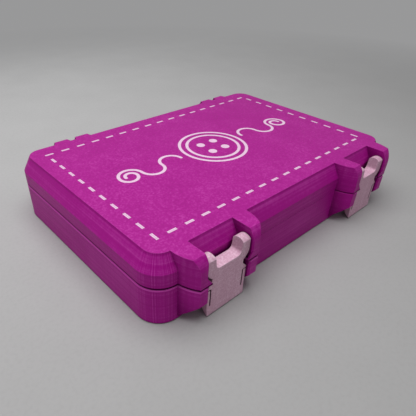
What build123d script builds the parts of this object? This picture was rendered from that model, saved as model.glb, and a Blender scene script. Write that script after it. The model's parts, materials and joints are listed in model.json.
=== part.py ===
from build123d import *

import os
from math import asin, atan2, cos, hypot, pi, radians, sin

# Bobbin storage case: a printed two-shell box with snap latches, rear pins and bobbin cradles.

# Body. X runs along the length, the latches face -Y and the hinge is at +Y.
body_length = 153.5
body_width = 103.0
body_height = 29.6
seam_height = 16.4
corner_radius = 9.8
wall = 3.0
floor_thickness = 2.0
lid_top = 2.4
chamfer_run = 3.5
chamfer_drop = 6.6
seam_gap = 0.3
front_seam_gap = 0.1
edge_break = 0.4

# Locating lip on the base's rim, and the rebate in the lid that goes over it.
lip_height = 1.6
lip_thickness = 1.2
lip_gap = 0.25

# Groups of ears: one pair in front and one behind, near each end.
group_end_inset = 28.15
ear_reach = 7.5
ear_side_gap = 0.3
ear_outer_front = 14.5
ear_outer_root = 18.4
ear_nose = 0.6
ear_top_setback = 2.5
ear_top_drop = 6.2
ear_foot_height = 9.0

# Bead on each lid ear, in front of the latch's waist.
bead_tip_gap = 0.9
bead_tip_height = 0.3
bead_height = 4.4
bead_gap = 0.65

# Latch.
latch_thickness = 4.9
latch_wall_gap = 1.3
latch_floor_gap = 0.4
latch_toe = 0.3
latch_toe_height = 4.6
latch_foot_half = 9.6
latch_shoulder_half = 9.9
latch_shoulder_drop = 2.3
latch_waist_half = 7.8
latch_waist_below = 0.7
latch_waist_above = 1.0
latch_horn_half = 10.5
latch_horn_corner = 4.4
latch_top_gap = 2.75
latch_crown = 1.1
notch_half = 6.8
notch_floor_rise = 3.2
notch_lean = 0.5
notch_radius = 2.0
latch_wedge_rise = 2.1
latch_heel_turn = 50
slit_half = 8.2
slit_width = 0.5
slit_foot_gap = 4.6
slit_shoulder_gap = 0.7
slit_bend = 0.6

# Latch pivot: stubs on the latch's arms, in blind sockets in the base's ears.
pivot_height = 9.2
pivot_front_gap = 1.9
stub_radius = 1.25
stub_length = 2.4
stub_clearance = 0.06
stub_end_gap = 0.3

# Hinge.
pin_radius = 1.5
pin_running_clearance = 0.07
pin_end_inset = 0.3
pin_end_chamfer = 0.3
barrel_radius = 3.4
barrel_wall_gap = 0.4
hinge_ear_inner = 9.0
lobe_gap_half = 2.3
lobe_side_gap = 0.2
lobe_flare = 0.8
lobe_top_reach = 2.6

# Bobbin cradles.
bobbin_radius = 10.25
bobbin_width = 11.7
bobbins_per_bay = 4
cradle_gap = 0.2
cradle_height = 10.5
cradle_floor = 1.6
cradle_side_wall = 1.2
bay_divider = 1.2
bobbin_clearance = 0.4
bay_end_clearance = 0.5

# Stitches and inlaid ornament, flush with the lid's top.
inlay_depth = 0.6
stitch_length = 4.0
stitch_width = 1.2
stitch_spacing = 8.0
stitch_end_inset = 6.9
stitch_side_inset = 7.85
stitch_start = 6.8
stroke = 1.5
button_radius = 17.0
button_ring_gap = 3.6
button_hole_offset = 5.9
button_hole_count = 4
button_hole_radius = 2.1
thread_start_gap = 3.5
thread_wave_radius = 5.5
thread_waves = 3
thread_curl_step = 1.4

# Sizes that follow from the ones above.
half_length = body_length / 2
half_width = body_width / 2
lid_bottom = seam_height + seam_gap
lid_height = body_height - lid_bottom
inner_length = body_length - 2 * wall
inner_width = body_width - 2 * wall
inner_radius = corner_radius - wall
top_half_width = half_width - chamfer_run
top_half_length = half_length - chamfer_run
ear_front = half_width + ear_reach
ear_root = top_half_width - edge_break
latch_back = half_width + latch_wall_gap
latch_front = latch_back + latch_thickness
latch_top = body_height - latch_top_gap
waist_low = lid_bottom - latch_waist_below
waist_high = lid_bottom + latch_waist_above
shoulder_height = waist_low - latch_shoulder_drop
notch_floor = waist_high + notch_floor_rise
slit_low = latch_floor_gap + slit_foot_gap
slit_high = shoulder_height - slit_shoulder_gap
pivot_y = latch_front - pivot_front_gap
hinge_y = half_width + barrel_wall_gap + barrel_radius
hinge_z = seam_height
base_ear_inner = latch_shoulder_half + ear_side_gap
lid_ear_inner = latch_horn_half + ear_side_gap
lobe_outer_half = hinge_ear_inner - lobe_side_gap
sides = (-1, 1)
group_centres = (group_end_inset - half_length, half_length - group_end_inset)
square_rim_half = group_centres[1] - ear_outer_root + edge_break
ear_places = [(centre, side) for centre in group_centres for side in sides]


def ear_outer_at(front, out):
    """How far across an ear's round outer side is, at one distance out, where the ear ends at front."""
    drop = ear_outer_root - ear_outer_front
    reach = front - ear_root
    radius = (reach**2 + drop**2) / (2 * drop)
    return ear_outer_root - radius + (radius**2 - (out - ear_root) ** 2) ** 0.5


def ear_plan(centre, side, facing, inner, front, nose):
    """Outline of one ear seen from above: straight inside, and round outside, square to the wall."""
    root = top_half_width - wall

    def place(across, out):
        return (centre + side * across, facing * out)

    outer_front = place(ear_outer_front, front)
    outer_root = place(ear_outer_root, ear_root)
    inner_front = [place(inner, front)]
    if nose:
        inner_front = [place(inner, front - nose), place(inner + nose, front)]
    with BuildSketch() as plan:
        with BuildLine():
            Polyline(outer_root, place(ear_outer_root, root), place(inner, root), *inner_front, outer_front)
            TangentArc(outer_root, outer_front, tangent=(0, facing))
        make_face()
    return plan.sketch


def round_tangent(point, centre, radius, turn):
    """Where a line from a point touches a circle, on the side that turn (1 or -1) chooses."""
    reach = hypot(point[0] - centre[0], point[1] - centre[1])
    base = atan2(point[1] - centre[1], point[0] - centre[0])
    swing = pi / 2 - asin(radius / reach)
    angle = base + turn * swing
    return (centre[0] + radius * cos(angle), centre[1] + radius * sin(angle))


# Between the latches both rims are square and nearly meet, so the seam hardly shows there.
with BuildSketch() as square_rim:
    with Locations((0, (wall - body_width) / 2)):
        Rectangle(2 * square_rim_half, wall)

# Front ears of the base: full height, with a 45 degree underside that meets the wall.
with BuildPart() as base_front_ears:
    with BuildSketch():
        for centre, side in ear_places:
            add(ear_plan(centre, side, -1, base_ear_inner, ear_front, ear_nose))
    extrude(amount=seam_height)
    chamfer(base_front_ears.faces().sort_by(Axis.Z)[-len(ear_places) :].edges(), length=edge_break)
    with BuildSketch(Plane.YZ):
        with BuildLine():
            Polyline(
                (0, seam_height),
                (-ear_front, seam_height),
                (-ear_front, ear_foot_height),
                (-ear_front + ear_foot_height, 0),
                (0, 0),
                close=True,
            )
        make_face()
    extrude(amount=half_length, both=True, mode=Mode.INTERSECT)

# Rear ears of the base: a barrel round each pin's end, on a 45 degree bracket.
rear_gusset_touch = (hinge_y + barrel_radius * cos(pi / 4), hinge_z - barrel_radius * sin(pi / 4))
with BuildPart() as base_rear_ears:
    with BuildSketch():
        for centre, side in ear_places:
            add(ear_plan(centre, side, 1, hinge_ear_inner, hinge_y + barrel_radius, 0))
    extrude(amount=hinge_z + barrel_radius)
    with BuildSketch(Plane.YZ):
        with BuildLine():
            Polyline(
                (0, seam_height),
                (hinge_y, hinge_z),
                rear_gusset_touch,
                (rear_gusset_touch[0] - rear_gusset_touch[1], 0),
                (0, 0),
                close=True,
            )
        make_face()
        with Locations((hinge_y, hinge_z)):
            Circle(barrel_radius)
    extrude(amount=half_length, both=True, mode=Mode.INTERSECT)

with BuildPart() as base_shell:
    with BuildSketch():
        RectangleRounded(body_length, body_width, corner_radius)
    extrude(amount=seam_height)
    chamfer(base_shell.faces().filter_by(Axis.Z).edges(), length=edge_break)
    with BuildSketch(Plane.XY.offset(seam_height - edge_break)):
        add(square_rim.sketch)
    extrude(amount=edge_break + seam_gap - front_seam_gap)
    add(base_front_ears.part)
    add(base_rear_ears.part)
    with BuildSketch(Plane.XY.offset(seam_height)):
        RectangleRounded(
            inner_length + 2 * lip_thickness, inner_width + 2 * lip_thickness, inner_radius + lip_thickness
        )
    extrude(amount=lip_height)
    with BuildSketch(Plane.XY.offset(floor_thickness)):
        RectangleRounded(inner_length, inner_width, inner_radius)
    extrude(amount=body_height, mode=Mode.SUBTRACT)
    with BuildSketch(Plane.YZ):
        with Locations((hinge_y, hinge_z)):
            Circle(pin_radius)
    extrude(amount=half_length, both=True, mode=Mode.SUBTRACT)
    socket_depth = latch_shoulder_half + stub_length + stub_end_gap
    for centre in group_centres:
        with BuildSketch(Plane.YZ.offset(centre)):
            with Locations((-pivot_y, pivot_height)):
                Circle(stub_radius + stub_clearance)
        extrude(amount=socket_depth, both=True, mode=Mode.SUBTRACT)
base_shell.part.label = "base_shell"

# Front ears of the lid: flush with its top, with a rounded front edge.
with BuildPart() as lid_front_ears:
    with BuildSketch(Plane.XY.offset(lid_bottom)):
        for centre, side in ear_places:
            add(ear_plan(centre, side, -1, lid_ear_inner, ear_front, ear_nose))
    extrude(amount=lid_height)
    chamfer(lid_front_ears.faces().sort_by(Axis.Z)[: len(ear_places)].edges(), length=edge_break)
    round_end = (-ear_front, body_height - ear_top_drop)
    round_start = (-ear_front + ear_top_setback, body_height)
    with BuildSketch(Plane.YZ):
        with BuildLine():
            Polyline(round_start, (0, body_height), (0, lid_bottom), (-ear_front, lid_bottom), round_end)
            TangentArc(round_end, round_start, tangent=(0, 1))
        make_face()
    extrude(amount=half_length, both=True, mode=Mode.INTERSECT)

# Hinge lobes of the lid, two in each group, between the base's rear ears.
lobe_top = (top_half_width + lobe_top_reach, body_height)
lobe_touch = round_tangent(lobe_top, (hinge_y, hinge_z), barrel_radius, -1)
with BuildPart() as lid_lobes:
    with BuildSketch():
        for centre, side in ear_places:

            def lobe_place(across, out):
                return (centre + side * across, out)

            with BuildLine():
                Polyline(
                    lobe_place(lobe_gap_half - lobe_flare, top_half_width - wall),
                    lobe_place(lobe_gap_half - lobe_flare, top_half_width),
                    lobe_place(lobe_gap_half, half_width - edge_break),
                    lobe_place(lobe_gap_half, hinge_y + barrel_radius),
                    lobe_place(lobe_outer_half, hinge_y + barrel_radius),
                    lobe_place(lobe_outer_half, half_width - edge_break),
                    lobe_place(lobe_outer_half + lobe_flare, top_half_width),
                    lobe_place(lobe_outer_half + lobe_flare, top_half_width - wall),
                    close=True,
                )
            make_face()
    extrude(amount=body_height)
    with BuildSketch(Plane.YZ):
        with BuildLine():
            Polyline(
                (0, body_height),
                lobe_top,
                lobe_touch,
                (hinge_y, hinge_z),
                (hinge_y, lid_bottom),
                (0, lid_bottom),
                close=True,
            )
        make_face()
        with Locations((hinge_y, hinge_z)):
            Circle(barrel_radius)
    extrude(amount=half_length, both=True, mode=Mode.INTERSECT)

# Retaining beads low on the lid's ears, just in front of the latches.
with BuildPart() as lid_beads:
    with BuildSketch(Plane.XZ.offset(latch_front + bead_gap)):
        for centre, side in ear_places:
            root = centre + side * (lid_ear_inner + ear_nose + edge_break)
            tip = centre + side * (latch_waist_half + bead_tip_gap)
            with BuildLine():
                Polyline(
                    (root, lid_bottom),
                    (tip, lid_bottom),
                    (tip, lid_bottom + bead_tip_height),
                    (root, lid_bottom + bead_height),
                    close=True,
                )
            make_face()
    extrude(amount=ear_front - latch_front - bead_gap)

# Space inside the lid, with the same slope as its outside.
with BuildPart() as lid_space:
    with BuildSketch(Plane.XY.offset(lid_bottom)):
        RectangleRounded(inner_length, inner_width, inner_radius)
    extrude(amount=lid_height - lid_top)
    ceiling = lid_space.faces().sort_by(Axis.Z)[-1]
    chamfer(ceiling.edges(), length=chamfer_run, length2=chamfer_drop, reference=ceiling)
    with BuildSketch(Plane.XY.offset(lid_bottom)):
        lip_room = 2 * (lip_thickness + lip_gap)
        RectangleRounded(inner_length + lip_room, inner_width + lip_room, inner_radius + lip_room / 2)
    extrude(amount=lip_height)

# Stitches: one dashed line round the lid, spaced evenly and started once, left, front, right, back.
stitch_x = top_half_length - stitch_end_inset
stitch_y = top_half_width - stitch_side_inset
stitch_path = [
    ("left", (-stitch_x, stitch_y), (0, -1), 2 * stitch_y),
    ("front", (-stitch_x, -stitch_y), (1, 0), 2 * stitch_x),
    ("right", (stitch_x, -stitch_y), (0, 1), 2 * stitch_y),
    ("back", (stitch_x, stitch_y), (-1, 0), 2 * stitch_x),
]
stitch_round = 4 * (stitch_x + stitch_y)
stitch_count = round(stitch_round / stitch_spacing)
stitch_pitch = stitch_round / stitch_count
stitch_sketches = {}
run_start = 0.0
for name, corner, heading, run in stitch_path:
    spots = []
    for index in range(stitch_count):
        along = stitch_start + index * stitch_pitch - run_start
        if 0 <= along < run:
            spots.append((corner[0] + heading[0] * along, corner[1] + heading[1] * along))
    run_start += run
    with BuildSketch(Plane.XY.offset(body_height - inlay_depth)) as stitches:
        with Locations(*spots):
            if heading[0]:
                Rectangle(stitch_length, stitch_width)
            else:
                Rectangle(stitch_width, stitch_length)
    stitch_sketches[f"stitches_{name}"] = stitches.sketch

# Ornament: a four-hole button, and a thread on each side of it that ends in a curl.
inlay_plane = Plane.XY.offset(body_height - inlay_depth)
ornament_sketches = {}
with BuildSketch(inlay_plane) as button_rim:
    Circle(button_radius)
    Circle(button_radius - stroke, mode=Mode.SUBTRACT)
ornament_sketches["motif_button_rim"] = button_rim.sketch

with BuildSketch(inlay_plane) as button_ring:
    Circle(button_radius - button_ring_gap)
    Circle(button_radius - button_ring_gap - stroke, mode=Mode.SUBTRACT)
ornament_sketches["motif_button_ring"] = button_ring.sketch

for index in range(button_hole_count):
    turn = (index + 0.5) * 2 * pi / button_hole_count
    with BuildSketch(inlay_plane) as button_hole:
        with Locations((button_hole_offset * cos(turn), button_hole_offset * sin(turn))):
            Circle(button_hole_radius)
    ornament_sketches[f"motif_button_hole_{index + 1}"] = button_hole.sketch

for name, side in (("left", -1), ("right", 1)):
    with BuildSketch(inlay_plane) as thread:
        at = side * (button_radius + thread_start_gap)
        heading_y = 1
        forward = side
        radii = [thread_wave_radius] * thread_waves
        radii += [thread_wave_radius - thread_curl_step, thread_wave_radius - 2 * thread_curl_step]
        for step, radius in enumerate(radii, 1):
            end = at + forward * 2 * radius
            with BuildLine() as bend:
                ThreePointArc((at, 0), ((at + end) / 2, heading_y * radius), (end, 0))
            SlotArc(bend.edges()[0], stroke)
            at = end
            heading_y = -heading_y
            if step >= thread_waves:
                forward = -forward
    ornament_sketches[f"motif_scroll_{name}"] = thread.sketch

inlay_sketches = {**stitch_sketches, **ornament_sketches}

with BuildPart() as lid_shell:
    with BuildSketch(Plane.XY.offset(lid_bottom)):
        RectangleRounded(body_length, body_width, corner_radius)
    extrude(amount=lid_height)
    roof = lid_shell.faces().sort_by(Axis.Z)[-1]
    chamfer(roof.edges(), length=chamfer_run, length2=chamfer_drop, reference=roof)
    chamfer(lid_shell.faces().sort_by(Axis.Z)[0].edges(), length=edge_break)
    with BuildSketch(Plane.XY.offset(lid_bottom)):
        add(square_rim.sketch)
    extrude(amount=edge_break)
    add(lid_front_ears.part)
    add(lid_beads.part)
    add(lid_lobes.part)
    add(lid_space.part, mode=Mode.SUBTRACT)
    with BuildSketch(Plane.YZ):
        with Locations((hinge_y, hinge_z)):
            Circle(pin_radius + pin_running_clearance)
    extrude(amount=half_length, both=True, mode=Mode.SUBTRACT)
    for inlay_sketch in inlay_sketches.values():
        add(inlay_sketch)
        extrude(amount=inlay_depth, mode=Mode.SUBTRACT)
lid_shell.part.label = "lid_shell"

pieces = [base_shell, lid_shell]

for name, inlay_sketch in inlay_sketches.items():
    with BuildPart() as inlay:
        add(inlay_sketch)
        extrude(amount=inlay_depth)
    inlay.part.label = name
    pieces.append(inlay)

# Latches: the front outline and the side outline, crossed. Slits free a springy arm on each side,
# which carries a stub.
for name, centre in zip(("left", "right"), group_centres):
    with BuildPart() as latch:
        with BuildSketch(Plane.XZ.offset(latch_back)):
            notch_corner = (centre + notch_half - notch_lean, notch_floor + notch_radius)
            notch_end = (notch_corner[0] - notch_radius, notch_floor)
            waist = (centre + latch_waist_half, waist_high)
            horn = (centre + latch_horn_half, waist_high + latch_horn_corner)
            with BuildLine():
                Polyline(
                    notch_end,
                    (centre, notch_floor),
                    (centre, latch_floor_gap),
                    (centre + latch_foot_half, latch_floor_gap),
                    (centre + latch_shoulder_half, shoulder_height),
                    (centre + latch_waist_half, waist_low),
                    waist,
                )
                TangentArc(horn, waist, tangent=(0, -1))
                Polyline(horn, (horn[0], latch_top), (centre + notch_half, latch_top), notch_corner)
                TangentArc(notch_end, notch_corner, tangent=(1, 0))
            make_face()
            mirror(about=Plane.YZ.offset(centre))
        extrude(amount=latch_thickness + latch_toe)
        with BuildSketch(Plane.YZ.offset(centre)):
            crown_end = latch_top - latch_crown
            wedge_corner = (-latch_front + latch_wedge_rise, latch_floor_gap + latch_wedge_rise)
            back_radius = pivot_y - latch_back
            heel_angle = radians(latch_heel_turn)
            heel = (-pivot_y + back_radius * cos(heel_angle), pivot_height - back_radius * sin(heel_angle))
            with BuildLine():
                Polyline(
                    heel,
                    wedge_corner,
                    (-latch_front - latch_toe, latch_floor_gap),
                    (-latch_front, latch_toe_height),
                    (-latch_front, crown_end),
                )
                ThreePointArc(
                    (-latch_front, crown_end),
                    (-(latch_back + latch_front) / 2, latch_top),
                    (-latch_back, crown_end),
                )
                Line((-latch_back, crown_end), (-latch_back, pivot_height))
                TangentArc((-latch_back, pivot_height), heel, tangent=(0, -1))
            make_face()
        extrude(amount=half_length, both=True, mode=Mode.INTERSECT)
        with BuildSketch(Plane.XZ.offset(latch_back)):
            slit_turn = slit_high - slit_width / 2
            slit_end = latch_shoulder_half + slit_width
            for side in sides:
                with BuildLine() as slit:
                    FilletPolyline(
                        (centre + side * slit_half, slit_low),
                        (centre + side * slit_half, slit_turn),
                        (centre + side * slit_end, slit_turn),
                        radius=slit_bend,
                    )
                trace(slit.line, line_width=slit_width)
        extrude(amount=latch_thickness, mode=Mode.SUBTRACT)
        for side in sides:
            with BuildSketch(Plane.YZ.offset(centre + side * (slit_half + slit_width))):
                with Locations((-pivot_y, pivot_height)):
                    Circle(stub_radius)
            stub_reach = latch_shoulder_half + stub_length - slit_half - slit_width
            extrude(amount=side * stub_reach)
    latch.part.label = f"latch_{name}"
    pieces.append(latch)

# Hinge pins, pressed into the base's ears and free in the lid's lobes.
for name, centre in zip(("left", "right"), group_centres):
    with BuildPart() as pin:
        with BuildSketch(Plane.YZ.offset(centre)):
            with Locations((hinge_y, hinge_z)):
                Circle(pin_radius)
        extrude(amount=ear_outer_at(hinge_y + barrel_radius, hinge_y + pin_radius) - pin_end_inset, both=True)
        pin_ends = pin.edges().filter_by(GeomType.CIRCLE)
        chamfer(pin_ends, length=pin_end_chamfer)
    pin.part.label = f"hinge_pin_{name}"
    pieces.append(pin)

# Cradles: rows of half-round bays, dropped side by side into the base.
trough_radius = bobbin_radius + bobbin_clearance
cradle_least_width = 2 * (trough_radius + cradle_side_wall)
cradle_count = int((inner_width - cradle_gap) / (cradle_least_width + cradle_gap))
cradle_width = (inner_width - (cradle_count + 1) * cradle_gap) / cradle_count
cradle_length = inner_length - 2 * cradle_gap
bay_length = bobbins_per_bay * bobbin_width + bay_end_clearance
bay_count = int((cradle_length - bay_divider) / (bay_length + bay_divider))
bay_pitch = bay_length + (cradle_length - bay_count * bay_length) / (bay_count + 1)
for index in range(cradle_count):
    row_y = (index - (cradle_count - 1) / 2) * (cradle_width + cradle_gap)
    with BuildPart() as cradle:
        with BuildSketch(Plane.XY.offset(floor_thickness)):
            RectangleRounded(cradle_length, inner_width - 2 * cradle_gap, inner_radius - cradle_gap)
            with Locations((0, row_y)):
                Rectangle(cradle_length, cradle_width, mode=Mode.INTERSECT)
        extrude(amount=cradle_height)
        trough_z = floor_thickness + cradle_floor + trough_radius
        for bay in range(bay_count):
            bay_x = (bay - (bay_count - 1) / 2) * bay_pitch
            with BuildSketch(Plane.YZ.offset(bay_x)):
                with Locations((row_y, trough_z)):
                    Circle(trough_radius)
            extrude(amount=bay_length / 2, both=True, mode=Mode.SUBTRACT)
    cradle.part.label = f"bobbin_cradle_{index + 1}"
    pieces.append(cradle)

os.makedirs("parts", exist_ok=True)
for piece in pieces:
    export_step(piece.part, f"parts/{piece.part.label}.step")
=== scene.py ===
"""Looks for the printed bobbin storage case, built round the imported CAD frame."""

import json
import math

import bpy
from mathutils import Euler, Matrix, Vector


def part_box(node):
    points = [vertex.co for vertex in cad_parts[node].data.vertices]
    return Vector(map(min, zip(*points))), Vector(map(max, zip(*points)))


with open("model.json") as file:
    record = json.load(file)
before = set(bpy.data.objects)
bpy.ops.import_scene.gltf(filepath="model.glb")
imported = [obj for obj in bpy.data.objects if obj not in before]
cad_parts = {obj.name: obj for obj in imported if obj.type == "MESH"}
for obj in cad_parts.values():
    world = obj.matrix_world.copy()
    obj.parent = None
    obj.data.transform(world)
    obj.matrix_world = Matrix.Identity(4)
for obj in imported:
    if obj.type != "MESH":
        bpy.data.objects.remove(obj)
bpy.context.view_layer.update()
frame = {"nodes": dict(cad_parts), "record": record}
nodes = frame["nodes"]
scene = bpy.context.scene


def middle(box, axis):
    """The middle of a box along one axis."""
    low, high = box
    return (low[axis] + high[axis]) / 2


# Camera, from the perspective of the stitches and edges in the photograph.
SENSOR = 36.0
LENS = 34.44
SHIFT_X = 0.0531
SHIFT_Y = 0.0390
CAMERA_PLACE = (-0.13007, -0.12400, 0.11079)
CAMERA_TURN = (0.94885, -0.02174, -0.72647)
CAMERA_NEAR = 0.005

# Light: one soft disk above the object, and an even world round it.
KEY_PLACE = (-0.085, 0.01, 0.36)
KEY_TARGET = (-0.01, 0.0, 0.0)
KEY_WIDTH = 0.42
KEY_POWER = 1.25
WORLD_LIGHT = 0.30

# Linear colours of each filament: plain, pale (also for painted highlights) and deep (also for painted
# shade).
SHELL = (0.400, 0.0050, 0.262)
SHELL_PALE = (0.600, 0.065, 0.440)
SHELL_DEEP = (0.310, 0.002, 0.198)
PINK = (0.660, 0.385, 0.515)
PINK_PALE = (0.860, 0.630, 0.760)
PINK_DEEP = (0.540, 0.285, 0.410)
THREAD = (0.830, 0.580, 0.765)
THREAD_PALE = (0.920, 0.730, 0.880)
THREAD_DEEP = (0.660, 0.360, 0.570)
# The share of the deep colour that the darkest painted shade goes to.
CREVICE_SHARE = 0.30
STEEL = (0.56, 0.56, 0.58)
STEEL_DULL = 0.85

# Floor: its colours, how far it reaches, over which stretches painted light brightens it along Y and it
# fades into the backdrop with the distance from the origin, and its finish, mottle and speckle.
FLOOR_FRONT = (0.404, 0.402, 0.402)
FLOOR_BACK = (0.690, 0.689, 0.692)
FLOOR_SPOT = (0.300, 0.296, 0.294)
BACKDROP = (0.315, 0.315, 0.318)
FLOOR_REACH = 6.0
FLOOR_DROP = 0.00005
FLOOR_LIGHT_PAINTED = (-0.15, 0.30)
FLOOR_FADE = (0.24, 0.52)
FLOOR_ROUGHNESS = 0.75
FLOOR_SPECULAR = 0.25
MOTTLE_GRAINS = (30.0, 30.0, 30.0)
MOTTLE_SHARE = 0.10
SPECKLE_GRAINS = (700.0, 700.0, 700.0)
SPECKLE_SHARE = 0.12

# The body's outline in plan. Its skin lies just beyond its walls, and its lip inside its rims.
BODY_HALF = (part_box("base_shell")[1][0], 0.0515)
CORNER_RADIUS = 0.0098
CORNER_CENTRE = (BODY_HALF[0] - CORNER_RADIUS, BODY_HALF[1] - CORNER_RADIUS)
SKIN_REACH = CORNER_RADIUS + 0.0001
LIP_REACH = CORNER_RADIUS - 0.0015

# Where the flanks of the ears begin along Y, and how far out they go along X.
EAR_ROOT = BODY_HALF[1] - 0.0035
EAR_END = CORNER_CENTRE[0] + 0.0001

# Levels: the seam between the shells, the lid's rim, its top and the foot of its slopes.
SEAM_LEVEL = frame["record"]["behaviour"]["joints"][0]["pos_m"][2]
LID_BOTTOM = SEAM_LEVEL + 0.0003
LID_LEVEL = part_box("lid_shell")[1][2]
LID_SLOPE = LID_LEVEL - 0.0066

# The seam: its small chamfer, the widths of the painted highlight below it and the painted shadow above
# it, their soft edges, and how much higher the painted shadow lies on the end walls.
EDGE_BREAK = 0.0004
SEAM_LINE = 0.0002
SEAM_SOFT = 0.0001
SEAM_RISE = 0.00015

# Where the seam hardly shows and no shadow or highlight is painted: between which X, in front of which Y, and
# how far up and down.
TIGHT_SEAM = (-0.0300, 0.0360)
TIGHT_FRONT = -0.0490
TIGHT_REACH = 0.0010
TIGHT_SOFT = 0.0003

# How softly other masks end, and how far a piece has risen or sunk as it stops being at rest.
MASK_SOFT = 0.0002
CORNER_SOFT = 0.0004
AT_REST = (0.0006, 0.0002)

# The slits beside each latch's arms, whose walls get painted shade: how far from its middle, how wide, and
# their heights.
LATCH_MIDDLE = middle(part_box("latch_right"), 0)
SLIT_HALF = 0.0082
SLIT_WIDTH = 0.0006
SLIT_HEIGHTS = (0.0048, 0.0128)
SLIT_SOFT = 0.0001

# The middles of the stitch lines along X and Y, and where the gap of each fades out and is full.
STITCH_LINE = (middle(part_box("stitches_right"), 0), middle(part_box("stitches_back"), 1))
STITCH_GAP = (0.00022, 0.00008)

# How level a face is, from 0 on a wall to 1 on a flat face: where walls end and where slopes begin.
WALL_ENDS = (0.98, 0.70)
SLOPE_BEGINS = (0.20, 0.35)

# The print: the height of a layer, the grains per metre of each noise, and a corner streak's turn.
# The wave texture multiplies its place by 20, so its scale for one wave per layer follows.
LAYER_HEIGHT = 0.0002
LAYER_SCALE = 2 * math.pi / (20 * LAYER_HEIGHT)
DRIFT_GRAINS = (9.0, 9.0, 1900.0)
COURSE_GRAINS = (14.0, 14.0, 560.0)
RIPPLE_GRAINS = (700.0, 700.0, 7.0)
SPECK_GRAINS = (1300.0, 1300.0, 1300.0)
CLOUD_GRAINS = (60.0, 60.0, 60.0)
CORNER_STREAK = 0.05

# How far each mark moves the tone, where FULL_TONE is all pale and its negative all deep.
FULL_TONE = 0.35
DRIFT_TONE = 0.35
COURSE_TONE = 0.25
SLOPE_TONE = 0.10
RIPPLE_TONE = 0.15
STREAK_TONE = 0.45
CLOUD_TONE = 0.25
# Painted shade on the lid's end walls.
BAND_SHADE = -0.05

# How many rays a face sends out to find its edges and its neighbours.
LOOK_SAMPLES = 6

# Edges: the rounding that the light sees, and where a painted highlight makes them pale, as ramps of
# how straight the face is, of the clouds and of how freely it sees the sky.
EDGE_ROUND = 0.00028
HIGHLIGHT_STRAIGHT = (0.995, 0.80)
HIGHLIGHT_CLOUDS = (0.20, 0.55)
HIGHLIGHT_SKY = (0.55, 0.85)

# Painted shade: how far a face looks for its neighbours, and the ramps of what it sees and faces.
CREVICE_LOOK = 0.0025
CREVICE_SHADE = 0.85
NOOK_LOOK = 0.014
NOOK_SKY = (0.95, 0.50)
FLANK_FACING = (0.4, 0.8)
# Which faces turned along X get painted shade, as the latches' sides do.
SIDE_FACING = (0.80, 0.95)

# Shade is painted on the lid's first layers, which lie at the top of its slopes, making them a little darker.
TOP_SHADE_BAND = (LID_LEVEL - 0.0012, LID_LEVEL - 0.0003)
TOP_SHADE_STRENGTH = 0.35

# The finish: how roughness and gloss change from place to place, and what lifts the surface.
SPECK_ROUGHNESS = 0.25
WALL_ROUGHNESS = -0.06
GLOSS = 0.12
CREVICE_GLOSS = -0.9
LAYER_LIFT = 0.4
SPECK_LIFT = 0.9
LINE_LIFT = 0.8
STREAK_LIFT = 2.0
PRINT_LIFT = 0.00006
PRINT_BUMP = 0.35

# The pins' steel: its scratches along X, their lift, and its roughness, even and where scratched.
SCRATCH_GRAINS = (120.0, 5000.0, 5000.0)
SCRATCH_LIFT = 0.00002
SCRATCH_BUMP = 0.2
STEEL_ROUGHNESS = 0.28
SCRATCH_ROUGHNESS = 0.2


class Graph:
    """A node tree, with short names for the steps that it takes again and again."""

    def __init__(self, owner):
        owner.use_nodes = True
        self.tree = owner.node_tree
        self.tree.nodes.clear()

    def make(self, kind, **values):
        """Adds a node. Each value goes to the socket of its name, or else to the node's setting."""
        made = self.tree.nodes.new(kind)
        for name, value in values.items():
            if name in made.inputs:
                made.inputs[name].default_value = value
            else:
                setattr(made, name, value)
        return made

    def link(self, source, target):
        self.tree.links.new(source, target)

    def math(self, operation, *values):
        """One step of arithmetic on sockets and plain numbers."""
        made = self.make("ShaderNodeMath", operation=operation)
        for index, value in enumerate(values):
            if isinstance(value, (int, float)):
                made.inputs[index].default_value = value
            else:
                self.link(value, made.inputs[index])
        return made.outputs[0]

    def times(self, first, *others):
        for other in others:
            first = self.math("MULTIPLY", first, other)
        return first

    def weigh_in(self, value, weight, total):
        """The total with the weighted value added."""
        return self.math("MULTIPLY_ADD", value, weight, total)

    def minus(self, first, second):
        return self.math("SUBTRACT", first, second)

    def rest_of(self, share):
        return self.minus(1.0, share)

    def most(self, first, second):
        return self.math("MAXIMUM", first, second)

    def size(self, value):
        """The value without its sign."""
        return self.math("ABSOLUTE", value)

    def ramp(self, value, low, high, power=1.0):
        """Maps low..high to 0..1, clamped."""
        made = self.make("ShaderNodeMapRange")
        made.inputs["From Min"].default_value = low
        made.inputs["From Max"].default_value = high
        self.link(value, made.inputs["Value"])
        if power == 1.0:
            return made.outputs["Result"]
        return self.math("POWER", made.outputs["Result"], power)

    def band(self, value, low, high, soft):
        """1 where the value lies between low and high, with soft edges."""
        return self.times(self.ramp(value, low - soft, low), self.ramp(value, high + soft, high))

    def split(self, vector):
        """The X, Y and Z of a vector."""
        made = self.make("ShaderNodeSeparateXYZ")
        self.link(vector, made.inputs[0])
        return made.outputs

    def noise(self, place, grains, detail):
        """Noise with this many grains per metre on each axis."""
        mapping = self.make("ShaderNodeMapping", Scale=grains)
        made = self.make("ShaderNodeTexNoise", Scale=1.0, Detail=detail)
        self.link(place, mapping.inputs["Vector"])
        self.link(mapping.outputs["Vector"], made.inputs["Vector"])
        return made.outputs["Fac"]

    def mix(self, share, first, second):
        """The first colour, with this share of the second."""
        # The node's colours are its inputs 6 and 7 and its output 2.
        made = self.make("ShaderNodeMix", data_type="RGBA")
        for index, colour in ((6, first), (7, second)):
            if isinstance(colour, tuple):
                made.inputs[index].default_value = (*colour, 1.0)
            else:
                self.link(colour, made.inputs[index])
        self.link(share, made.inputs[0])
        return made.outputs[2]

    def seen_directly(self):
        """1 for what the camera, a reflection or a transmission sees, and 0 for light that spreads."""
        rays = self.make("ShaderNodeLightPath").outputs
        seen = self.most(rays["Is Camera Ray"], rays["Is Glossy Ray"])
        return self.most(seen, rays["Is Transmission Ray"])


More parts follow.
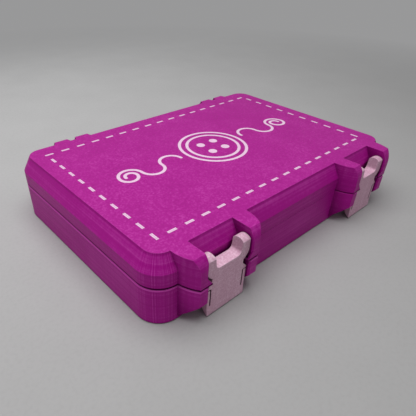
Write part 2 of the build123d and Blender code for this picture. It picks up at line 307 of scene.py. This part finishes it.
class MaterialGraph(Graph):
    """The node tree of a new material with one Principled shader, and the place of each point."""

    def __init__(self, name):
        self.material = bpy.data.materials.new(name)
        super().__init__(self.material)
        self.surface = self.make("ShaderNodeOutputMaterial").inputs["Surface"]
        self.shader = self.make("ShaderNodeBsdfPrincipled")
        self.link(self.shader.outputs["BSDF"], self.surface)
        self.place = self.make("ShaderNodeTexCoord").outputs["Object"]
        self.level = self.split(self.place)


class PrintGraph(MaterialGraph):
    """A printed material: which way its faces look, where they lie, and the noises in the print."""

    def __init__(self, name):
        super().__init__(name)
        self.geometry = self.make("ShaderNodeNewGeometry").outputs
        facing = self.split(self.geometry["True Normal"])
        steep = self.size(facing["Z"])
        self.facing_x = self.size(facing["X"])
        self.upright = self.ramp(steep, *WALL_ENDS)
        self.sloped = self.times(self.upright, self.ramp(steep, *SLOPE_BEGINS))
        self.flat = self.rest_of(self.upright)

        self.beyond = self.outside_of(SKIN_REACH)
        self.outside = self.outside_of(LIP_REACH)
        self.open_seam = self.rest_of(self.tight_seam())

        self.course = self.swing(COURSE_GRAINS, 1.0)
        self.speck = self.swing(SPECK_GRAINS, 2.0)
        self.cloud = self.noise(self.place, CLOUD_GRAINS, 4.0)
        self.streak = self.corner_streaks()

        self.rounded = self.make("ShaderNodeBevel", samples=LOOK_SAMPLES, Radius=EDGE_ROUND).outputs["Normal"]
        self.open_sky = self.openness(CREVICE_LOOK)

    def swing(self, grains, detail):
        """Noise that swings round 0."""
        return self.minus(self.noise(self.place, grains, detail), 0.5)

    def openness(self, look):
        """1 where a face sees nothing within this distance, and less in a corner or a groove."""
        return self.make("ShaderNodeAmbientOcclusion", samples=LOOK_SAMPLES, Distance=look).outputs["AO"]

    def past_corner_centre(self):
        """How far a point lies beyond a corner's centre along X and along Y."""
        return [self.minus(self.size(self.level[axis]), CORNER_CENTRE[i]) for i, axis in enumerate("XY")]

    def outside_of(self, reach):
        """1 where a point lies beyond a rectangle with round corners, in plan."""
        over_x, over_y = (self.most(over, 0.0) for over in self.past_corner_centre())
        squares = self.math("ADD", self.times(over_x, over_x), self.times(over_y, over_y))
        return self.math("GREATER_THAN", self.math("SQRT", squares), reach)

    def corner_streaks(self):
        """Upright streaks on the body's round corners."""
        out_x, out_y = self.past_corner_centre()
        turn = self.math("ARCTAN2", self.most(out_y, 0.0), self.most(out_x, 0.0))
        on_corner = self.ramp(self.math("MINIMUM", out_x, out_y), 0.0, CORNER_SOFT)
        noise = self.make("ShaderNodeTexNoise", noise_dimensions="1D", Scale=1.0 / CORNER_STREAK, Detail=1.0)
        self.link(turn, noise.inputs["W"])
        return self.times(self.minus(noise.outputs["Fac"], 0.5), on_corner, self.upright)

    def tight_seam(self):
        """1 round the part of the seam that hardly shows."""
        along = self.band(self.level["X"], *TIGHT_SEAM, TIGHT_SOFT)
        front = self.math("LESS_THAN", self.level["Y"], TIGHT_FRONT)
        near = self.band(self.level["Z"], SEAM_LEVEL - TIGHT_REACH, SEAM_LEVEL + TIGHT_REACH, MASK_SOFT)
        return self.times(along, front, near)

    def at_rest(self):
        """1 where a piece is in its closed place, and 0 where it has been turned away."""
        now = self.split(self.geometry["Position"])
        return self.ramp(self.size(self.minus(now["Z"], self.level["Z"])), *AT_REST)

    def in_slit(self):
        """1 on the walls of the latches' slits, where shade is painted."""
        off = self.size(self.minus(self.size(self.level["X"]), LATCH_MIDDLE))
        off = self.size(self.minus(off, SLIT_HALF))
        across = self.ramp(off, (SLIT_WIDTH + SLIT_SOFT) / 2, SLIT_WIDTH / 2)
        return self.times(across, self.band(self.level["Z"], *SLIT_HEIGHTS, SLIT_SOFT))

    def stitch_gap(self):
        """1 along the middle of each stitch, where the two passes of the nozzle meet."""
        off_x, off_y = (
            self.size(self.minus(self.size(self.level[axis]), STITCH_LINE[i])) for i, axis in enumerate("XY")
        )
        return self.times(self.ramp(self.math("MINIMUM", off_x, off_y), *STITCH_GAP), self.flat)

    def lid_band_shade(self):
        """1 on the lid's end walls, between the seam and the slopes, where a little shade is painted."""
        between = self.band(self.level["Z"], SEAM_LEVEL, LID_SLOPE, MASK_SOFT)
        return self.times(between, self.facing_x, self.upright)


def wall_lines(graph, walls):
    """The layers' lines, and the ripples that run up the walls, stronger on the ears."""
    lines = graph.times(graph.course, COURSE_TONE * walls)
    lines = graph.weigh_in(graph.swing(DRIFT_GRAINS, 2.0), DRIFT_TONE * walls, lines)
    ripples = graph.weigh_in(graph.beyond, RIPPLE_TONE, RIPPLE_TONE)
    lines = graph.weigh_in(graph.swing(RIPPLE_GRAINS, 2.0), ripples, lines)
    return graph.weigh_in(graph.times(graph.course, graph.sloped), SLOPE_TONE * walls, lines)


def print_tone(graph, lines, walls, grain, wall_grain, seamed):
    """How pale or deep the filament looks at each point, with a little painted shade on the lid's end walls.
    """
    tone = graph.times(lines, graph.upright)
    grains = graph.weigh_in(graph.flat, grain - wall_grain, wall_grain)
    tone = graph.weigh_in(graph.speck, grains, tone)
    tone = graph.weigh_in(graph.streak, STREAK_TONE * walls, tone)
    tone = graph.weigh_in(graph.minus(graph.cloud, 0.5), CLOUD_TONE, tone)
    # A little painted shade on the lid's end walls.
    return graph.weigh_in(graph.lid_band_shade(), BAND_SHADE * seamed, tone)


def painted_highlights(graph, edge, seamed):
    """1 where highlights are painted: on edges, and on the base's rim below the seam."""
    straight = graph.make("ShaderNodeVectorMath", operation="DOT_PRODUCT")
    graph.link(graph.rounded, straight.inputs[0])
    graph.link(graph.geometry["True Normal"], straight.inputs[1])
    # Painted highlight along edges, patchy, and left off in crevices and where the seam hardly shows.
    edge_highlight = graph.ramp(straight.outputs["Value"], *HIGHLIGHT_STRAIGHT)
    patchy = graph.ramp(graph.cloud, *HIGHLIGHT_CLOUDS)
    free = graph.ramp(graph.open_sky, *HIGHLIGHT_SKY)
    edge_highlight = graph.times(edge_highlight, patchy, free, edge, graph.open_seam)

    # Painted highlight along the base's rim just below the seam.
    rim = graph.band(graph.level["Z"], SEAM_LEVEL - EDGE_BREAK - SEAM_LINE, SEAM_LEVEL, SEAM_SOFT / 2)
    rim = graph.times(rim, graph.outside, graph.upright, graph.open_seam, seamed)
    return graph.most(edge_highlight, rim)


def seam_shadow(graph):
    """1 in the shadow between the shells, which lies a little higher on the end walls."""
    lowered = graph.weigh_in(graph.facing_x, -SEAM_RISE, graph.level["Z"])
    lowest = SEAM_LEVEL + SEAM_SOFT - SEAM_RISE
    shadow = graph.band(lowered, lowest, LID_BOTTOM + EDGE_BREAK + SEAM_LINE, SEAM_SOFT)
    return graph.times(shadow, graph.outside, graph.open_seam, graph.at_rest())


def ear_nook_shade(graph):
    """1 where shade is painted, in the nooks beside the ears."""
    past_root = graph.math("GREATER_THAN", graph.size(graph.level["Y"]), EAR_ROOT)
    before_end = graph.math("LESS_THAN", graph.size(graph.level["X"]), EAR_END)
    flank = graph.times(past_root, before_end, graph.ramp(graph.facing_x, *FLANK_FACING))
    return graph.times(graph.ramp(graph.openness(NOOK_LOOK), *NOOK_SKY), flank)


def painted_shade(graph, groove, seamed, sides, ears):
    """How much shade is painted at a point: the most of the shade painted in its crevices, seam, slits and
    nooks.
    """
    # Painted shade on the lid's first layers, at the top of its slopes.
    top_shade = graph.ramp(graph.level["Z"], *TOP_SHADE_BAND)
    top_shade = graph.times(top_shade, graph.sloped, graph.rest_of(graph.beyond))
    # Painted shade in crevices and grooves, where a face sees little of the sky.
    dark = graph.times(graph.ramp(graph.open_sky, *groove), CREVICE_SHADE)
    # Painted shadow in the seam between the shells.
    dark = graph.most(dark, graph.times(seam_shadow(graph), seamed))
    dark = graph.most(dark, graph.times(top_shade, TOP_SHADE_STRENGTH * seamed))
    if sides:
        # Painted shade on faces turned along X, such as the latches' sides.
        dark = graph.most(dark, graph.times(graph.ramp(graph.facing_x, *SIDE_FACING), sides))
        # Painted shade on the walls of the latches' slits.
        dark = graph.most(dark, graph.in_slit())
    if ears:
        # Painted shade in the nooks beside the ears.
        dark = graph.most(dark, graph.times(ear_nook_shade(graph), ears))
    return dark


def print_bump(graph, lines):
    """Lifts the layers, the lines, the grain and the streaks."""
    layers = graph.make(
        "ShaderNodeTexWave", wave_type="BANDS", bands_direction="Z", wave_profile="SIN",
        Scale=LAYER_SCALE, Distortion=0.0
    )
    graph.link(graph.place, layers.inputs["Vector"])
    height = graph.times(layers.outputs["Fac"], graph.upright, LAYER_LIFT)
    height = graph.weigh_in(graph.times(graph.speck, graph.flat), SPECK_LIFT, height)
    height = graph.weigh_in(graph.times(lines, graph.upright), LINE_LIFT, height)
    height = graph.weigh_in(graph.streak, STREAK_LIFT, height)
    bump = graph.make("ShaderNodeBump", Strength=PRINT_BUMP, Distance=PRINT_LIFT)
    graph.link(height, bump.inputs["Height"])
    graph.link(graph.rounded, bump.inputs["Normal"])
    return bump.outputs["Normal"]


def printed_plastic(
    name, plain, pale, deep, roughness, grain=1.0, wall_grain=0.2, walls=1.0, edge=0.8, groove=(0.5, 0.1),
    seamed=0.0, stitched=0.0, sides=0.0, ears=0.0
):
    """Filament plastic: layer lines on the walls, bed grain on flat faces, streaked corners, painted
    highlights on edges, and painted shade in crevices, seams, slits and nooks."""
    graph = PrintGraph(name)
    lines = wall_lines(graph, walls)
    tone = print_tone(graph, lines, walls, grain, wall_grain, seamed)
    dark = painted_shade(graph, groove, seamed, sides, ears)

    colour = graph.mix(graph.ramp(tone, 0.0, -FULL_TONE), plain, deep)
    colour = graph.mix(graph.ramp(tone, 0.0, FULL_TONE), colour, pale)
    # Painted highlights on the edges and on the base's rim.
    colour = graph.mix(painted_highlights(graph, edge, seamed), colour, pale)
    colour = graph.mix(graph.times(graph.stitch_gap(), stitched), colour, deep)
    # Painted shade, darkening towards a share of the deep colour.
    colour = graph.mix(dark, colour, tuple(CREVICE_SHARE * part for part in deep))

    rough = graph.weigh_in(graph.speck, SPECK_ROUGHNESS, roughness)
    rough = graph.weigh_in(graph.upright, WALL_ROUGHNESS, rough)
    gloss = graph.weigh_in(graph.flat, GLOSS, GLOSS)
    gloss = graph.times(gloss, graph.weigh_in(dark, CREVICE_GLOSS, 1.0))

    shader = graph.shader
    graph.link(colour, shader.inputs["Base Color"])
    graph.link(rough, shader.inputs["Roughness"])
    graph.link(gloss, shader.inputs["Specular IOR Level"])
    graph.link(print_bump(graph, lines), shader.inputs["Normal"])
    return graph.material


def brushed_steel(name):
    """Steel with fine scratches along the pins."""
    graph = MaterialGraph(name)
    shader = graph.shader
    grain = graph.noise(graph.place, SCRATCH_GRAINS, 2.0)
    dull = tuple(STEEL_DULL * part for part in STEEL)
    graph.link(graph.mix(grain, dull, STEEL), shader.inputs["Base Color"])
    graph.link(graph.weigh_in(grain, SCRATCH_ROUGHNESS, STEEL_ROUGHNESS), shader.inputs["Roughness"])
    shader.inputs["Metallic"].default_value = 1.0
    bump = graph.make("ShaderNodeBump", Strength=SCRATCH_BUMP, Distance=SCRATCH_LIFT)
    graph.link(grain, bump.inputs["Height"])
    graph.link(bump.outputs["Normal"], shader.inputs["Normal"])
    return graph.material


def plain_floor(name):
    """A pale mottled sheet, with painted light brightening it along Y, that fades into the backdrop's colour
    far from the object.
    """
    graph = MaterialGraph(name)
    shader = graph.shader
    mottle = graph.ramp(graph.noise(graph.place, MOTTLE_GRAINS, 5.0), 0.3, 0.7)
    speckle = graph.ramp(graph.noise(graph.place, SPECKLE_GRAINS, 2.0), 0.45, 0.7)
    # Painted light, brightening the floor along Y.
    colour = graph.mix(graph.ramp(graph.level["Y"], *FLOOR_LIGHT_PAINTED, 1.5), FLOOR_FRONT, FLOOR_BACK)
    colour = graph.mix(graph.times(mottle, MOTTLE_SHARE), colour, FLOOR_SPOT)
    colour = graph.mix(graph.times(speckle, SPECKLE_SHARE), colour, FLOOR_SPOT)
    graph.link(colour, shader.inputs["Base Color"])
    shader.inputs["Roughness"].default_value = FLOOR_ROUGHNESS
    shader.inputs["Specular IOR Level"].default_value = FLOOR_SPECULAR

    away = graph.make("ShaderNodeVectorMath", operation="LENGTH")
    graph.link(graph.place, away.inputs[0])
    fade = graph.times(graph.ramp(away.outputs["Value"], *FLOOR_FADE), graph.seen_directly())
    far = graph.make("ShaderNodeEmission", Strength=1.0, Color=(*BACKDROP, 1.0))
    join = graph.make("ShaderNodeMixShader")
    graph.link(fade, join.inputs[0])
    graph.link(shader.outputs["BSDF"], join.inputs[1])
    graph.link(far.outputs["Emission"], join.inputs[2])
    graph.link(join.outputs["Shader"], graph.surface)
    return graph.material


def dress(material, *names):
    for name in names:
        mesh = nodes[name].data
        mesh.materials.clear()
        mesh.materials.append(material)


def lay_floor():
    """One large sheet just under the object."""
    corners = [(x * FLOOR_REACH, y * FLOOR_REACH, 0.0) for x, y in ((-1, -1), (1, -1), (1, 1), (-1, 1))]
    mesh = bpy.data.meshes.new("floor")
    mesh.from_pydata(corners, [], [(0, 1, 2, 3)])
    mesh.materials.append(plain_floor("floor_plain"))
    floor = bpy.data.objects.new("floor", mesh)
    floor.location.z = -FLOOR_DROP
    scene.collection.objects.link(floor)


def light_scene():
    """The key light, and a world that lights evenly but is seen in the backdrop's colour."""
    lamp = bpy.data.lights.new("key", "AREA")
    lamp.shape = "DISK"
    lamp.size = KEY_WIDTH
    lamp.energy = KEY_POWER
    key = bpy.data.objects.new("key", lamp)
    key.location = KEY_PLACE
    key.rotation_euler = (Vector(KEY_TARGET) - Vector(KEY_PLACE)).to_track_quat("-Z", "Y").to_euler()
    scene.collection.objects.link(key)

    scene.world = bpy.data.worlds.new("studio")
    graph = Graph(scene.world)
    light = graph.make("ShaderNodeBackground", Color=(1.0, 1.0, 1.0, 1.0), Strength=WORLD_LIGHT)
    backdrop = graph.make("ShaderNodeBackground", Color=(*BACKDROP, 1.0), Strength=1.0)
    choose = graph.make("ShaderNodeMixShader")
    output = graph.make("ShaderNodeOutputWorld")
    graph.link(graph.seen_directly(), choose.inputs[0])
    graph.link(light.outputs[0], choose.inputs[1])
    graph.link(backdrop.outputs[0], choose.inputs[2])
    graph.link(choose.outputs[0], output.inputs["Surface"])


def place_camera():
    data = bpy.data.cameras.new("camera")
    data.sensor_width = SENSOR
    data.lens = LENS
    data.shift_x = SHIFT_X
    data.shift_y = SHIFT_Y
    data.clip_start = CAMERA_NEAR
    camera = bpy.data.objects.new("camera", data)
    camera.location = CAMERA_PLACE
    camera.rotation_euler = Euler(CAMERA_TURN, "XYZ")
    scene.collection.objects.link(camera)
    scene.camera = camera


shell = printed_plastic(
    "shell_plastic", SHELL, SHELL_PALE, SHELL_DEEP, 0.50, grain=0.7, wall_grain=0.15, groove=(0.8, 0.15),
    seamed=1.0, ears=0.75
)
latch = printed_plastic(
    "latch_plastic", PINK, PINK_PALE, PINK_DEEP, 0.52, grain=0.8, wall_grain=0.8, walls=0.3, edge=1.0,
    groove=(0.75, 0.3), sides=0.4
)
cradle = printed_plastic(
    "cradle_plastic", PINK, PINK_PALE, PINK_DEEP, 0.52, grain=0.5, wall_grain=0.4, walls=0.4,
    groove=(0.75, 0.3)
)
inlay = printed_plastic(
    "inlay_plastic", THREAD, THREAD_PALE, THREAD_DEEP, 0.50, grain=0.5, edge=0.0, stitched=0.9
)
steel = brushed_steel("pin_steel")

dress(shell, "base_shell", "lid_shell")
dress(latch, "latch_left", "latch_right")
dress(cradle, *(name for name in nodes if name.startswith("bobbin_cradle_")))
dress(inlay, *(name for name in nodes if name.startswith(("stitches_", "motif_"))))
dress(steel, "hinge_pin_left", "hinge_pin_right")

lay_floor()
light_scene()
place_camera()
scene.view_settings.view_transform = "Standard"
